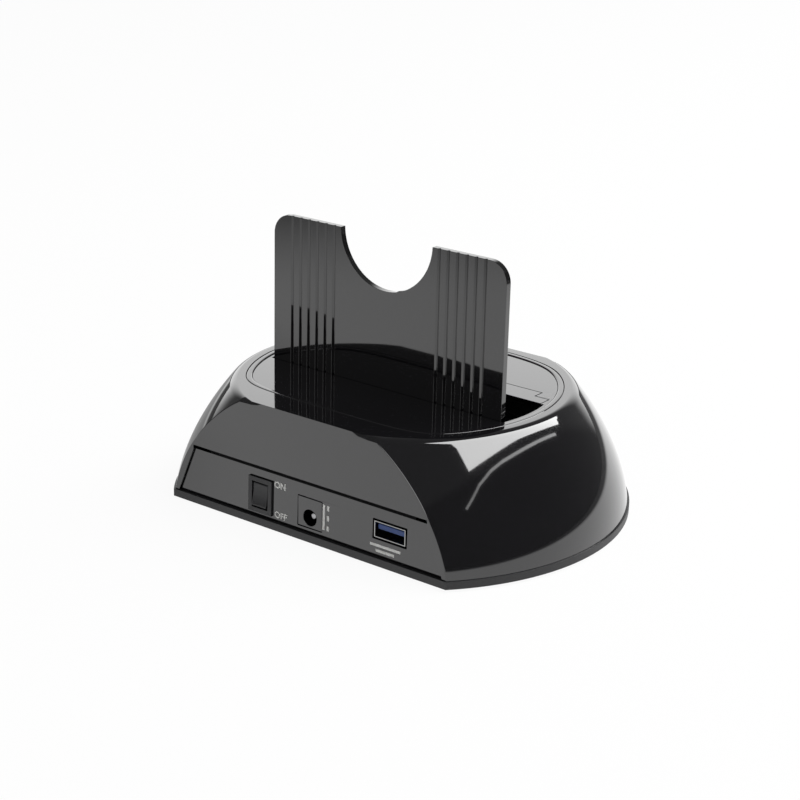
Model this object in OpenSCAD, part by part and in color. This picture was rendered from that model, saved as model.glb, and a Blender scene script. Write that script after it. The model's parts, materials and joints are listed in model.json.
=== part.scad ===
// Hard drive docking station, in millimetres.
// The floor is z = 0, the connector face looks along -Y, and +X is to its right.

/* [Body] */
// Width of the dome at the floor
body_w = 166.6; // [162:0.2:176]
// Depth between the two flat faces at the floor
body_d = 111.6; // [108:0.2:118]
// Depth that the dome would have at the floor without its flat faces
dome_d = 168; // [164:1:176]
// Height of the rim
rim_h = 46; // [45:0.5:52]
// Distance from the ends of the deck to the rim's outer edge
rim_end = 6.5; // [6:0.1:9]
// Depth of the dome at the rim
rim_d = 123.6; // [121:0.2:128]
// How far the ends bow out half way up
end_bow = 4.3; // [2:0.1:5]
// How far the long sides bow out half way up
side_bow = 4.3; // [2:0.1:5]
// How far each flat face leans in from the floor to the rim
face_lean = 1; // [0.4:0.1:3]
// Radius of the edge round the rim
rim_edge = 1.6; // [0.8:0.1:2.2]
// Wall of the mouldings
wall = 2.4; // [2:0.1:2.8]

/* [Base] */
// Thickness of the bottom cover
cover_t = 2.4; // [1.8:0.1:3]
// How far the cover's lip stands above its floor
lip_rise = 0.4; // [0.3:0.1:1]
// How far the lip stands out from the dome
lip_out = 0.6; // [0.2:0.1:1]
// Height of the upstand that locates the shell
upstand_h = 3; // [2:0.5:5]
// Thickness of the upstand
upstand_t = 1.6; // [1.2:0.1:2]
// How far the rubber feet stand out below the cover
foot_out = 1; // [0.6:0.1:2]
// Diameter of a rubber foot
foot_d = 12; // [8:0.5:14]
// Depth of the pockets that hold the feet
foot_pocket = 1; // [0.6:0.1:1.2]
// Distance of a foot from the middle along X
foot_x = 51; // [44:0.5:53]
// Distance from the flat faces to the middle of a foot
foot_in = 12; // [9:0.5:16]
// Width of a vent slot
vent_w = 2; // [1.5:0.1:2.5]
// Length of a vent slot
vent_l = 18; // [10:1:22]
// Number of vent slots in a row
vent_count = 9; // [3:2:9]
// Distance between the middles of neighbouring vent slots
vent_pitch = 5; // [4:0.5:6]
// Distance of a row of vent slots from the middle
vent_y = 16; // [14:0.5:20]

/* [Deck] */
// How far the deck lies below the rim
deck_drop = 0.4; // [0.2:0.1:1]
// Distance from the ends of the slot to the ends of the oval deck
deck_end = 3.7; // [3.4:0.1:5]
// Depth of the oval that shapes the ends of the deck
deck_oval_d = 110.6; // [108:0.2:114]
// Depth of the deck between its straight sides
deck_d = 82; // [76:0.5:88]
// Width of the ring round the deck
ring_w = 2.3; // [2:0.1:3]
// How far the deck's flange reaches under the shell
flange_over = 1.6; // [1:0.1:1.8]
// Width of the strip left between the ends of the slot and the ring
mouth_margin = 1.2; // [1:0.1:1.5]

/* [Drive slot] */
// Width of the drives that the slot takes
drive_w = 101.6; // [100:0.1:102.6]
// Thickness of the thickest drive
drive_t = 26.1; // [22:0.1:28]
// Gap on each side of a drive's width
drive_side_gap = 0.8; // [0.5:0.1:1]
// Gap on each side of the thickest drive
drive_face_gap = 0.45; // [0.3:0.05:0.6]
// Gap that the closed flap leaves open for thin drives
slot_gap = 22; // [18:0.5:23]
// Wall of the well
well_wall = 2; // [1.6:0.1:2.4]
// Depth of the sloped lead-in at the ends of the well
lead_in_h = 9; // [5:0.5:10]
// Distance of the ears that hold the well from the middle along X
well_ear_x = 30; // [20:1:36]
// Radius of those ears
well_ear_r = 4; // [3.5:0.1:5]
// Height of those ears
well_ear_h = 3; // [2.4:0.1:4]
// Distance of the ears' screws from the wall of the well
well_ear_out = 3; // [2.8:0.1:3.4]

/* [Support plate] */
// How far the plate reaches past a drive at each end
plate_over = 0.7; // [0:0.1:1]
// Thickness of the plate
plate_t = 2.4; // [2:0.1:3]
// Height of the plate above the deck
plate_h = 55.8; // [45:0.1:70]
// Depth of the plate in its pocket
plate_in = 11.7; // [8:0.1:14]
// Y of the plate's face on the connector side
plate_y = -12.8; // [-14:0.1:-11.5]
// Radius of the plate's top corners
plate_corner = 7.5; // [3:0.5:9]
// Radius of the finger notch
notch_r = 20.2; // [14:0.1:22]
// Height of the notch's centre above the top edge
notch_rise = 0.5; // [0:0.1:4]
// Number of grooves on each side of the notch
groove_count = 6; // [0:1:6]
// Distance from the middle of the plate to the innermost groove
groove_from = 23.2; // [23:0.1:25]
// Distance between neighbouring grooves
groove_pitch = 3.9; // [2.5:0.02:4.1]
// Width of a groove
groove_w = 1.4; // [0.8:0.1:1.8]
// Depth of a groove
groove_deep = 0.8; // [0.3:0.1:1.2]

/* [Flap] */
// Thickness of the flap
flap_t = 1.8; // [1.4:0.1:2.2]
// Diameter of the hinge pin
pin_d = 1.6; // [1.2:0.1:1.8]
// Diameter of the flap's hinge barrel
barrel_d = 3.4; // [3.2:0.1:4]
// Thickness of the flap over the barrel
barrel_cover = 0.9; // [0.7:0.1:1.3]
// How far the hinge stands in from each end of the flap
hinge_inset = 6; // [5:0.5:12]
// Length of the ears that carry the hinge pin
ear_l = 3; // [2:0.5:4]
// Length of the spring on the pin
spring_l = 8; // [5:0.5:14]
// Wire of the spring
spring_wire = 0.6; // [0.4:0.05:0.7]

/* [Connector panel] */
// Height of the panel's upper edge above the floor, along the face
ledge_v = 21.4; // [20.6:0.1:22.6]
// Distance from the panel's ends to the edge of the flat face
panel_margin = 2; // [1.5:0.1:4]
// Height of the groove between the ledge and the panel
ledge_gap = 1.6; // [1:0.1:2]
// How far the panel lies below the face
panel_recess = 0.9; // [0.4:0.1:1.4]
// Height of the panel's flange behind the shell, above the groove
panel_flange = 1.6; // [1:0.1:2]
// Distance from the panel's slanted ends to its flange
flange_inset = 6; // [5:0.5:10]
// Thickness of the panel's flange
flange_t = 1.4; // [1:0.1:1.8]

/* [Switch] */
// Place of the switch, as a share of the panel's half width at the ledge
switch_share = -0.394; // [-0.44:0.002:-0.36]
// Width of the switch's bezel
switch_w = 10.8; // [10:0.1:13]
// Distance from the panel's lower edge to the switch's bezel
switch_foot = 1.3; // [1:0.1:2]
// Distance from the switch's bezel to the ledge
switch_head = 3; // [2:0.1:4.4]
// Width of the bezel round the switch's body
bezel_w = 0.8; // [0.6:0.1:1.2]
// How far the bezel stands out from the panel
bezel_out = 0.8; // [0.5:0.1:1.2]
// Wall of the switch's body
switch_wall = 0.9; // [0.8:0.1:1.2]
// Depth of the switch behind the panel
switch_deep = 8; // [7.4:0.1:8.6]
// Angle that the rocker tips through
rocker_throw = 14; // [8:1:16]
// Height of the rocker above its pivots
rocker_crown = 2.2; // [1.8:0.1:2.8]
// Depth of the rocker below its pivots
rocker_low = 2.5; // [1.5:0.1:3]
// Depth of the dish in the rocker's face
rocker_dish = 0.7; // [0.3:0.1:0.9]
// Radius of the dish in the rocker's face
rocker_dish_r = 20; // [15:1:30]
// Diameter of the rocker's pivots
pivot_d = 1.6; // [1.2:0.1:2]
// Length of each pivot
pivot_l = 0.8; // [0.6:0.1:0.9]
// Depth of the pivots below the panel
pivot_deep = 0.9; // [0.6:0.1:1.1]

/* [Power socket] */
// Place of the power socket, as a share of the panel's half width at the ledge
jack_share = 0.034; // [-0.02:0.002:0.1]
// Width of the socket's body
jack_w = 10.8; // [9:0.1:12]
// Height of the socket's body
jack_h = 11; // [10.6:0.1:11.4]
// Length of the socket's body
jack_l = 14; // [12:0.5:16]
// Gap between the socket and the bottom cover
jack_gap = 2.2; // [1.8:0.1:2.8]
// Diameter of the socket's hole
jack_bore = 6; // [5.5:0.1:6.6]
// Diameter of the socket's pin
jack_pin = 2.1; // [1.65:0.05:2.5]
// Depth of the socket's hole
jack_deep = 9.5; // [8:0.5:11]
// Distance from the socket's front to the tip of its pin
pin_back = 2; // [0.5:0.1:3]
// Distance from the board to the middle of the hole
jack_drop = 7.2; // [6:0.1:7.4]

/* [USB socket] */
// Place of the USB socket, as a share of the panel's half width at the ledge
usb_share = 0.7; // [0.64:0.002:0.74]
// Inner width of the shell
usb_in_w = 12.5; // [12.2:0.1:13]
// Inner height of the shell
usb_in_h = 5.2; // [5:0.1:5.6]
// Sheet of the shell
usb_sheet = 0.4; // [0.3:0.05:0.5]
// Length of the shell
usb_l = 17; // [14:0.5:18.5]
// Gap between the shell and the panel
usb_gap = 0.5; // [0.3:0.1:0.8]
// Width of the flange round the shell, behind the panel
usb_flange = 0.8; // [0.4:0.1:0.9]
// Thickness of the tongue
tongue_t = 1.8; // [1.6:0.1:2]
// Width of the tongue
tongue_w = 11.2; // [10.8:0.1:11.6]
// Gap between the tongue and the top of the shell
tongue_gap = 0.9; // [0.7:0.1:1.1]
// Distance from the mouth to the tip of the tongue
tongue_in = 1; // [0.5:0.1:2]
// Length of the block that holds the tongue
tongue_root = 5; // [3:0.5:6]
// Distance between neighbouring contacts
usb_pitch = 2.4; // [2:0.1:2.6]
// Width of a contact
contact_w = 1; // [0.8:0.1:1.2]
// Thickness of a contact
contact_t = 0.25; // [0.15:0.05:0.4]
// Distance from a connector's tip to its contacts
contact_in = 1.2; // [0.6:0.1:2]

/* [Board] */
// Thickness of the board
board_t = 1.6; // [1.2:0.1:2]
// How far the board stops short of the well's inside at each end
board_side = 0.6; // [0:0.1:3]
// Y of the board's front edge
board_y1 = 13; // [12.5:0.5:14]
// Gap between the board and the well
board_gap = 2.2; // [2:0.1:3]
// Distance of the board's screws from its ends
board_screw_in = 4; // [3.8:0.1:4.2]
// X of the drive connector
sata_x = -20.7; // [-21:0.1:-18]
// Length of the drive connector
sata_w = 42; // [40:0.5:42.5]
// Depth of the drive connector
sata_d = 6.4; // [5.6:0.1:6.8]
// Height of the drive connector
sata_h = 9.5; // [8.5:0.1:10.5]
// Distance from a drive's face to the middle of the connector
sata_off = 3.5; // [3.4:0.1:4]
// Distance between neighbouring drive contacts
sata_pitch = 1.27; // [1.2:0.01:1.3]
// Width of a drive contact
sata_contact_w = 0.7; // [0.5:0.05:0.8]
// Width of the grooves that take the drive's tongues
sata_slot = 2.4; // [2:0.1:3]
// Depth of those grooves
sata_deep = 7; // [5:0.5:7.5]

/* [Status light] */
// Height of the light, along the front face
led_v = 13; // [12:0.5:18]
// Diameter of the light's window
lens_d = 4; // [3:0.1:5]
// How far the window stands out from the face
lens_out = 0.3; // [0.1:0.1:0.6]
// Width of the flange behind the window
lens_flange = 1; // [0.6:0.1:1.5]
// Thickness of that flange
lens_flange_t = 1.2; // [0.8:0.1:1.6]
// Diameter of the light
led_d = 3; // [2.5:0.5:5]
// Length of the light
led_l = 5; // [4:0.5:7]
// Width of the light's board
led_board_w = 12; // [9:0.5:14]
// Height of the light's board
led_board_h = 8; // [6:0.5:10]
// Width of the post behind the light's board
led_post_w = 8; // [5:0.5:10]
// Thickness of that post
led_post_t = 3; // [2:0.5:4]

/* [Screws] */
// Diameter of a screw's shank
screw_d = 2.6; // [2.2:0.1:2.8]
// Diameter of a screw's head
screw_head_d = 5; // [4.6:0.1:5.6]
// Height of a screw's head
screw_head_h = 1.6; // [1.2:0.1:2]
// Length of the cross in a screw's head
cross_l = 2.6; // [2:0.1:3.2]
// Width of the cross
cross_w = 0.6; // [0.4:0.1:0.8]
// Depth of the cross
cross_deep = 0.7; // [0.4:0.1:1]
// Diameter of the posts that the screws go into
post_d = 7.6; // [7.2:0.1:8.4]
// Distance from the well's ends to the case screws
case_screw_out = 6.3; // [5.5:0.1:8]
// Y of the case screws
case_screw_y = 27; // [22:0.5:30]
// How far the case screws go into the shell
case_screw_l = 9; // [6:0.5:12]
// How far the well's screws go into the deck
deck_bite = 1.8; // [1.2:0.1:1.9]
// X of the posts under the board and the well
cover_post_x = 30; // [28:1:36]

/* [Clearances] */
// Gap between mouldings that drop into each other
fit = 0.15; // [0.1:0.05:0.2]
// Gap between parts that move past each other
run = 0.3; // [0.25:0.05:0.4]

/* [Hidden] */
$fn = 48;

gloss_black = "#141416";
satin_black = "#242428";
chip_black = "#1c1c1e";
rubber_black = "#1a1a1a";
can_grey = "#3a3a3e";
steel = "#b8bcc2";
gold = "#d8b04a";
board_green = "#1f5a3a";
usb_blue = "#1d4fd8";
clear_lens = "#dfe8f2";

// How far a cut runs past the face that it opens
over = 1;

// Body
face_angle = atan(face_lean / rim_h);
face_wall = wall / cos(face_angle);
dome_sides = 80;
dome_steps = 6;
// widest slope of the dome's side, at the rim, which sets how far its inside is drawn in
side_slope = atan(((dome_d - rim_d) / 2 + 4 * side_bow) / rim_h);
skin = wall / cos(side_slope);
cover_top = foot_out + cover_t;
lip_h = cover_top + lip_rise;

// Widths of the well, the plate, the deck and the rim, each from the drive's
well_in_w = drive_w + 2 * drive_side_gap;
plate_w = drive_w + 2 * plate_over;
deck_w = well_in_w + 2 * deck_end;
rim_w = deck_w + 2 * rim_end;

// Deck stack, hung under the ceiling of the shell
ceiling_z = rim_h - wall;
deck_z = rim_h - deck_drop;
deck_low = ceiling_z - wall;

// Stack of board and well, from the bottom cover upward
jack_z = cover_top + jack_gap;
board_z = jack_z + jack_h;
board_top = board_z + board_t;
well_low = board_top + board_gap;
well_floor_z = well_low + well_wall;

// Well and the plate's pocket
well_in_d = drive_t + 2 * drive_face_gap;
plate_back = plate_y + plate_t;
well_y0 = plate_back + fit;
well_y1 = well_y0 + well_in_d;
pocket_y0 = plate_y - fit;
pocket_w = plate_w + 2 * fit;
pocket_z = deck_z - plate_in;
well_out_w = max(well_in_w, pocket_w) + 2 * well_wall;
well_top_w = deck_w - 2 * mouth_margin - 2 * well_wall;

// Flap: open, it hangs in a recess beyond the well's far wall
flap_y0 = well_y0 + slot_gap;
axis_drop = barrel_d / 2 + barrel_cover;
hinge_z = deck_z - axis_drop;
hinge_y = well_y1 + run + axis_drop;
flap_y1 = hinge_y + barrel_d / 2;
flap_w = well_in_w - 2 * run;
hinge_w = flap_w - 2 * hinge_inset;
mouth_y1 = flap_y1 + run;
recess_z = hinge_z - (hinge_y - flap_y0) - 2 * run;
recess_y1 = mouth_y1 + fit;
pin_l = hinge_w + 2 * run + 2 * ear_l;
spring_x = hinge_w / 4;
spring_in_d = pin_d + fit;
spring_d = spring_in_d + 2 * spring_wire;

// Ears that join the well to the deck
well_ear_y = [pocket_y0 - well_wall, recess_y1 + well_wall];

// Connector panel, standing on the lip of the bottom cover
panel_v = (lip_h + fit + wall * sin(face_angle)) / cos(face_angle);
panel_low = face_half(panel_v * cos(face_angle)) - panel_margin;
panel_top = face_half(ledge_v * cos(face_angle)) - panel_margin;
flange_top = ledge_v + ledge_gap + panel_flange;
socket_y = panel_recess - face_y(board_z - usb_in_h / 2);

// Switch, its body let into the panel and its rocker on two pivots
switch_x = switch_share * panel_top;
switch_h = ledge_v - panel_v - switch_foot - switch_head;
switch_v = panel_v + switch_foot + switch_h / 2;
switch_body_w = switch_w - 2 * bezel_w;
switch_body_h = switch_h - 2 * bezel_w;
rocker_w = switch_body_w - 2 * switch_wall - 2 * run;
rocker_r = switch_body_h / 2 - switch_wall - run;
pivot_out = -panel_recess - pivot_deep;
switch_back_y = -body_d / 2 + (switch_v + switch_body_h / 2) * sin(face_angle)
  + (panel_recess + switch_deep) * cos(face_angle);

// Sockets, hung under the board
jack_x = jack_share * panel_top;
usb_x = usb_share * panel_top;
usb_out_w = usb_in_w + 2 * usb_sheet;
usb_out_h = usb_in_h + 2 * usb_sheet;
usb_z = board_z - usb_out_h / 2;
usb_flange_in = wall + flange_t - panel_recess + run;
tongue_z = usb_z + usb_in_h / 2 - tongue_gap - tongue_t;
tongue_l = usb_l - usb_sheet - tongue_in;

// Board
board_y0 = face_wall + flange_t + 3 * run - face_y(board_top);
board_w = well_in_w - 2 * board_side;
board_screw_x = board_w / 2 - board_screw_in;
board_screw_y = [well_y0, board_y1 - post_d];
sata_y = well_y0 + drive_face_gap + sata_off;

// Feet, case screws and the posts under the board and the recess
foot_y = body_d / 2 - foot_in;
case_screw_x = well_top_w / 2 + well_wall + case_screw_out;
cover_post_y = [well_y0 + post_d / 2 + run, well_y1 + well_wall + post_d / 2 + run];

// Parts under the board: places from the middle of the well's near edge, and sizes
bridge_at = [18, -7];
bridge_size = [10, 10];
flash_at = [32, -3.4];
flash_size = [5, 4];
chip_h = 1.4;
crystal_at = [6, -1];
crystal_w = 11;
crystal_d = 4.6;
crystal_h = 3.2;
inductor_at = [-14, -9];
inductor_w = 9;
inductor_r = 1.5;
inductor_h = 4.5;
cap_at = [[-32, -9], [-24, -9]];
cap_d = 6.3;
cap_h = 8;

// Middle and number of contacts of the drive connector's signal and power groups
sata_groups = [[-12.4, 7], [7.6, 15]];

// Status light, stacked behind the front face
lens_base = -wall - lens_flange_t;
led_base = lens_base - led_l;
led_board_base = led_base - board_t;
led_post_base = led_board_base - led_post_t;
led_post_v = (foot_out + cover_t / 2 - led_post_base * sin(face_angle)) / cos(face_angle);

// Half width of the dome at a height, for its X or Y direction
function dome_half(z, low, top, bow) =
  let (t = z / rim_h) (low + (top - low) * t) / 2 + 4 * bow * t * (1 - t);

function dome_x(z) = dome_half(z, body_w, rim_w, end_bow);
function dome_y(z) = dome_half(z, dome_d, rim_d, side_bow);
function face_y(z) = body_d / 2 - face_lean * z / rim_h;

// Half width of the flat face at a height, where it meets the dome
function face_half(z) = dome_x(z) * sqrt(1 - pow(face_y(z) / dome_y(z), 2));

// Heights of the dome's rings and how far each is drawn in, with the rim's edge rounded off
function rim_levels() =
  [for (a = [0 : 30 : 90]) [rim_h - rim_edge * (1 - sin(a)), rim_edge * (1 - cos(a))]];
function side_levels(z0, z1, inset) =
  [for (i = [0 : dome_steps - 1]) [z0 + (z1 - z0) * i / dome_steps, inset]];
function outer_levels() = concat(side_levels(lip_h, rim_h - rim_edge, 0), rim_levels());
function inner_levels() = concat(side_levels(lip_h - over, ceiling_z, skin), [[ceiling_z, skin]]);

// Solid through oval rings, each given as its height and how far it is drawn in
module loft(levels) {
  n = dome_sides;
  m = len(levels);
  points = [
    for (l = levels)
      for (k = [0 : n - 1])
        [(dome_x(l[0]) - l[1]) * cos(360 * k / n), (dome_y(l[0]) - l[1]) * sin(360 * k / n), l[0]]
  ];
  bottom = [[for (k = [0 : n - 1]) k]];
  top = [[for (k = [0 : n - 1]) m * n - 1 - k]];
  sides = [
    for (i = [0 : m - 2])
      for (k = [0 : n - 1])
        let (a = i * n + k, b = i * n + (k + 1) % n)
          each [[a, a + n, b], [b, a + n, b + n]]
  ];
  polyhedron(points = points, faces = concat(bottom, sides, top), convexity = 4);
}

// Wedge between the two leaning faces, drawn in by a margin
module face_wedge(margin) {
  low = face_y(0) - margin;
  top = face_y(rim_h) - margin;
  rotate([90, 0, 90])
    linear_extrude(body_w + 2 * over, center = true)
      polygon([[-low, 0], [low, 0], [top, rim_h], [-top, rim_h]]);
}

// Frame of a leaning face: x along it, y up it from the floor, z outward
module rear_face() {
  translate([0, -body_d / 2, 0]) rotate([90 - face_angle, 0, 0]) children();
}

module front_face() {
  mirror([0, 1, 0]) rear_face() children();
}

module oval(w, d) {
  scale([w / 2, d / 2]) circle(r = 1);
}

// Outline of the deck, larger or smaller by a margin
module deck_outline(margin) {
  intersection() {
    oval(deck_w + 2 * margin, deck_oval_d + 2 * margin);
    square([deck_w + 2 * margin + over, deck_d + 2 * margin], center = true);
  }
}

// Outline of the body at a height, drawn in by a margin
module base_outline(z, margin) {
  intersection() {
    oval(2 * (dome_x(z) - margin), 2 * (dome_y(z) - margin));
    square([2 * (dome_x(z) - margin) + over, 2 * (face_y(z) - margin)], center = true);
  }
}

module at_corners(x, y) {
  for (i = [-1, 1], j = [-1, 1]) translate([i * x, j * y]) children();
}

// Box that is centred on x = 0 and stands on z
module span(w, y0, y1, z0, z1) {
  translate([-w / 2, y0, z0]) cube([w, y1 - y0, z1 - z0]);
}

// Rectangle with round corners
module rounded(w, d, r) {
  square([w - 2 * r, d], center = true);
  square([w, d - 2 * r], center = true);
  at_corners(w / 2 - r, d / 2 - r) circle(r);
}

// Screw that points up, with its shank from z = 0 and a cross in its head
module screw(length) {
  translate([0, 0, -screw_head_h]) difference() {
    cylinder(d = screw_head_d, h = screw_head_h);
    for (a = [0, 90]) rotate(a) cube([cross_l, cross_w, 2 * cross_deep], center = true);
  }
  cylinder(d = screw_d, h = length);
}

// Rod along X, centred on x = 0 at the flap's hinge
module hinge_rod(d, length) {
  translate([0, hinge_y, hinge_z]) rotate([0, 90, 0]) cylinder(d = d, h = length, center = true);
}

// Outline of the connector panel, larger by a margin and run on above and below it
module panel_outline(margin, rise, skirt) {
  low = panel_low + margin;
  top = panel_top + margin;
  polygon([
    [-low, panel_v - skirt], [low, panel_v - skirt], [low, panel_v], [top, ledge_v], [top, ledge_v + rise],
    [-top, ledge_v + rise], [-top, ledge_v], [-low, panel_v]
  ]);
}

// Shell
module top_shell() {
  post_z = cover_top + screw_head_h;
  color(gloss_black) difference() {
    intersection() {
      loft(outer_levels());
      face_wedge(0);
    }
    difference() {
      intersection() {
        loft(inner_levels());
        face_wedge(face_wall);
      }
      at_corners(case_screw_x, case_screw_y) translate([0, 0, post_z]) cylinder(d = post_d, h = rim_h);
    }
    translate([0, 0, ceiling_z - over]) linear_extrude(rim_h) deck_outline(ring_w + fit);
    rear_face() translate([0, 0, -2 * wall]) linear_extrude(4 * wall) panel_outline(fit, ledge_gap, panel_v);
    front_face() translate([0, led_v, -2 * wall]) cylinder(d = lens_d + 2 * fit, h = 4 * wall);
    at_corners(case_screw_x, case_screw_y) cylinder(d = screw_d + fit, h = post_z + case_screw_l + over);
  }
}

module rim_ring() {
  color(gloss_black) translate([0, 0, ceiling_z]) linear_extrude(wall) difference() {
    deck_outline(ring_w);
    deck_outline(fit);
  }
}

// Deck
module slot_mouth() {
  intersection() {
    deck_outline(-mouth_margin);
    translate([-deck_w / 2, pocket_y0]) square([deck_w, flap_y0 - run - pocket_y0]);
  }
  translate([-pocket_w / 2, pocket_y0]) square([pocket_w, well_y0 - pocket_y0]);
  translate([-well_in_w / 2, well_y0]) square([well_in_w, well_y1 + run - well_y0]);
  translate([-hinge_w / 2 - run, well_y1]) square([hinge_w + 2 * run, mouth_y1 - well_y1]);
}

module deck_insert() {
  color(gloss_black) difference() {
    union() {
      translate([0, 0, deck_low]) linear_extrude(wall) intersection() {
        deck_outline(ring_w + flange_over);
        base_outline(ceiling_z, skin + fit);
      }
      translate([0, 0, deck_low]) linear_extrude(deck_z - deck_low) deck_outline(0);
      for (s = [-1, 1]) hinge_ear(s);
    }
    translate([0, 0, deck_low - barrel_d]) linear_extrude(rim_h) slot_mouth();
    hinge_rod(pin_d + fit, pin_l + 2 * fit);
    at_well_ears() translate([0, 0, deck_low - over]) cylinder(d = screw_d + fit, h = deck_bite + over + fit);
  }
}

// Block under the deck that carries one end of the hinge pin
module hinge_ear(side) {
  x_mid = side * (hinge_w / 2 + run + ear_l / 2);
  translate([x_mid, hinge_y, hinge_z]) cube([ear_l, barrel_d, barrel_d], center = true);
}

// Plate
module plate_outline() {
  top = plate_in + plate_h;
  difference() {
    union() {
      translate([-plate_w / 2, 0]) square([plate_w, top - plate_corner]);
      translate([0, top / 2]) rounded(plate_w, top, plate_corner);
    }
    translate([0, top + notch_rise]) circle(notch_r);
  }
}

module plate_groove() {
  half = groove_w / 2;
  linear_extrude(plate_in + plate_h + 2 * over)
    polygon([[-half, -over], [-half, 0], [0, groove_deep], [half, 0], [half, -over]]);
}

module support_plate() {
  color(gloss_black) translate([0, plate_y, pocket_z]) difference() {
    translate([0, plate_t, 0]) rotate([90, 0, 0]) linear_extrude(plate_t) plate_outline();
    for (s = [-1, 1], i = [0 : 1 : groove_count - 1])
      translate([s * (groove_from + i * groove_pitch), 0, -over]) plate_groove();
  }
}

// Flap, hinge pin and spring
module slot_flap() {
  room_w = spring_l + 2 * run;
  room_y0 = hinge_y - barrel_d / 2 - run;
  room_z1 = hinge_z + spring_d / 2 + run;
  color(gloss_black) difference() {
    union() {
      span(flap_w, flap_y0, well_y1, deck_z - flap_t, deck_z);
      span(hinge_w, flap_y0, flap_y1, deck_z - flap_t, deck_z);
      hinge_rod(barrel_d, hinge_w);
    }
    hinge_rod(pin_d + fit, flap_w);
    for (s = [-1, 1]) translate([s * spring_x, 0, 0])
      span(room_w, room_y0, mouth_y1, hinge_z - barrel_d, room_z1);
  }
}

module flap_pin() {
  color(steel) hinge_rod(pin_d, pin_l);
}

module flap_spring() {
  color(steel) for (s = [-1, 1]) translate([s * spring_x, 0, 0]) difference() {
    hinge_rod(spring_d, spring_l);
    hinge_rod(spring_in_d, spring_l + 2 * over);
  }
}

// Well
module at_well_ears() {
  for (s = [-1, 1]) {
    translate([s * well_ear_x, well_ear_y[0] - well_ear_out]) children();
    translate([s * well_ear_x, well_ear_y[1] + well_ear_out]) children();
  }
}

module well_space() {
  // room for the drive
  span(well_in_w, well_y0, well_y1, well_floor_z, rim_h);
  // pocket and step for the plate
  span(pocket_w, pocket_y0, well_y0 + over, pocket_z, rim_h);
  // recess for the open flap
  span(flap_w + 2 * run, well_y1 - over, recess_y1, recess_z, rim_h);
  // sloped lead-in at both ends
  translate([0, flap_y0 - run, deck_low]) rotate([90, 0, 0]) linear_extrude(flap_y0 - run - well_y0)
    polygon([
      [-well_top_w / 2, over], [well_top_w / 2, over], [well_top_w / 2, 0],
      [well_in_w / 2, -lead_in_h], [-well_in_w / 2, -lead_in_h], [-well_top_w / 2, 0]
    ]);
}

module drive_well() {
  top_y1 = recess_y1 + well_wall;
  color(satin_black) difference() {
    union() {
      span(well_out_w, well_y0 - well_wall, well_y1 + well_wall, well_low, deck_low);
      span(well_out_w, pocket_y0 - well_wall, well_y1, pocket_z - well_wall, deck_low);
      span(well_out_w, well_y1, top_y1, recess_z - well_wall, deck_low);
      span(
        well_top_w + 2 * well_wall, pocket_y0 - well_wall, flap_y0 - run + well_wall,
        deck_low - lead_in_h - well_wall, deck_low
      );
      at_well_ears() translate([0, 0, deck_low - well_ear_h]) cylinder(r = well_ear_r, h = well_ear_h);
      at_board_screws() translate([0, 0, board_top]) cylinder(d = post_d, h = well_floor_z - board_top);
    }
    well_space();
    translate([sata_x, 0, 0])
      span(sata_w + 2 * run, sata_y - sata_d / 2 - run, sata_y + sata_d / 2 + run, well_low - over, rim_h);
    at_well_ears() translate([0, 0, deck_low - well_ear_h - over]) cylinder(d = screw_d + fit, h = rim_h);
    at_board_screws() translate([0, 0, board_top - over])
      cylinder(d = screw_d + fit, h = board_gap + well_wall / 2 + over);
  }
}

// Connector panel and its sockets
module rear_panel() {
  color(gloss_black) difference() {
    rear_face() {
      translate([0, 0, -wall]) linear_extrude(wall - panel_recess) panel_outline(0, 0, 0);
      translate([-panel_top + flange_inset, panel_v + flange_t, -wall - flange_t])
        cube([2 * (panel_top - flange_inset), flange_top - panel_v - flange_t, flange_t]);
    }
    rear_face() translate([switch_x, switch_v, 0])
      cube([switch_body_w + 2 * fit, switch_body_h + 2 * fit, 6 * wall], center = true);
    socket_cut(jack_x, jack_w, jack_z, board_z);
    socket_cut(usb_x, usb_out_w + 2 * usb_gap, board_z - usb_out_h - usb_gap, board_z + usb_gap);
  }
}

// Straight hole through the panel for a socket on the board
module socket_cut(x, w, z0, z1) {
  translate([x, 0, 0]) span(w + 2 * fit, -body_d, 0, z0 - fit, z1 + fit);
}

module switch_housing() {
  room_h = 2 * (rocker_r + run);
  color(satin_black) rear_face() translate([switch_x, switch_v, 0]) difference() {
    union() {
      translate([0, 0, -panel_recess]) linear_extrude(bezel_out) square([switch_w, switch_h], center = true);
      translate([0, 0, -panel_recess - switch_deep]) linear_extrude(switch_deep)
        square([switch_body_w, switch_body_h], center = true);
    }
    translate([0, 0, pivot_out]) cube([rocker_w + 2 * run, room_h, room_h], center = true);
    translate([0, 0, pivot_out]) rotate([0, 90, 0])
      cylinder(d = pivot_d + fit, h = rocker_w + 2 * pivot_l + 2 * fit, center = true);
  }
}

module switch_rocker() {
  rest = -rocker_throw / 2;
  color(satin_black) rear_face() translate([switch_x, switch_v, pivot_out]) rotate([rest, 0, 0]) {
    rotate([90, 0, 90]) linear_extrude(rocker_w, center = true) difference() {
      intersection() {
        circle(rocker_r);
        translate([-rocker_r, -rocker_low]) square([2 * rocker_r, rocker_low + rocker_crown]);
      }
      translate([0, rocker_crown + rocker_dish_r - rocker_dish]) circle(rocker_dish_r, $fn = 160);
    }
    rotate([0, 90, 0]) cylinder(d = pivot_d, h = rocker_w + 2 * pivot_l, center = true);
  }
}

// Frame of the power socket's hole: z runs into the socket from its front
module jack_axis() {
  translate([jack_x, socket_y, board_z - jack_drop]) rotate([-90, 0, 0]) children();
}

module dc_jack_body() {
  color(satin_black) difference() {
    translate([jack_x, 0, 0]) span(jack_w, socket_y, socket_y + jack_l, jack_z, board_z);
    jack_axis() translate([0, 0, -over]) cylinder(d = jack_bore, h = jack_deep + over);
  }
}

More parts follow.
